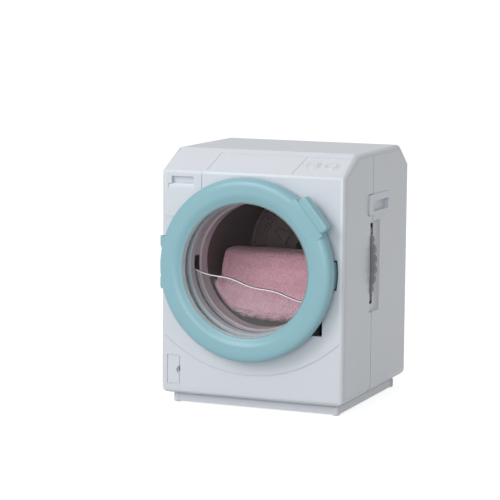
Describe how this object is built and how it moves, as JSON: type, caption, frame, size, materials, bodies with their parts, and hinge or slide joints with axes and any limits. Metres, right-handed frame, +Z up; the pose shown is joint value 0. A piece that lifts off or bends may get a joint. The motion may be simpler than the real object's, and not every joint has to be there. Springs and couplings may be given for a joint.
{
  "type": "toy washing machine",
  "caption": "Doll-house front-loading washing machine with a round hinged door, a turning drum driven by a side thumbwheel, a rocking clear wave plate and a folded towel inside.",
  "frame": {"origin": "on the floor, midway between the sides, the back and the front of the door handle", "axes": "+Z up, -Y out of the door's front, +X to the right as seen from the front"},
  "size_m": [0.0562, 0.0594, 0.07],
  "materials": {
    "white_plastic": "satin moulded white",
    "teal_plastic": "satin moulded light teal",
    "clear_plastic": "clear moulded plastic",
    "drum_plastic": "dark moulded plastic",
    "wheel_plastic": "grey moulded plastic",
    "steel": "plain steel",
    "terry_cloth": "pink terry pile"
  },
  "bodies": {
    "housing": {"front_shell": "white_plastic", "rear_shell": "white_plastic", "base_tray": "white_plastic", "tub_collar": "white_plastic", "hinge_pin": "steel", "hub_washer": "steel", "hub_screw": "steel", "body_screw_1": "steel", "body_screw_2": "steel", "body_screw_3": "steel", "body_screw_4": "steel", "base_screw_1": "steel", "base_screw_2": "steel"},
    "door": {"door_ring": "teal_plastic", "door_back_ring": "teal_plastic", "door_window": "clear_plastic"},
    "drum": {"drum_tub": "drum_plastic", "drum_back_plate": "drum_plastic", "thumbwheel": "wheel_plastic"},
    "wave": {"wave_screen": "clear_plastic"},
    "laundry": {"towel": "terry_cloth"}
  },
  "joints": [
    {"name": "door_hinge", "type": "hinge", "parent": "housing", "child": "door", "pos_m": [-0.02545, -0.02169, 0.03936], "axis": [0, 0, -1], "range_deg": [0, 120]},
    {"name": "drum_spin", "type": "hinge", "parent": "housing", "child": "drum", "pos_m": [0, 0, 0.03896], "axis": [0, -1, 0], "continuous": true},
    {"name": "wave_rock", "type": "hinge", "parent": "housing", "child": "wave", "pos_m": [0, -0.01914, 0.03896], "axis": [0, -1, 0], "range_deg": [-11, 35]},
    {"name": "towel_roll", "type": "hinge", "parent": "housing", "child": "laundry", "pos_m": [0, 0, 0.03896], "axis": [0, -1, 0], "range_deg": [-25, 25]}
  ]
}
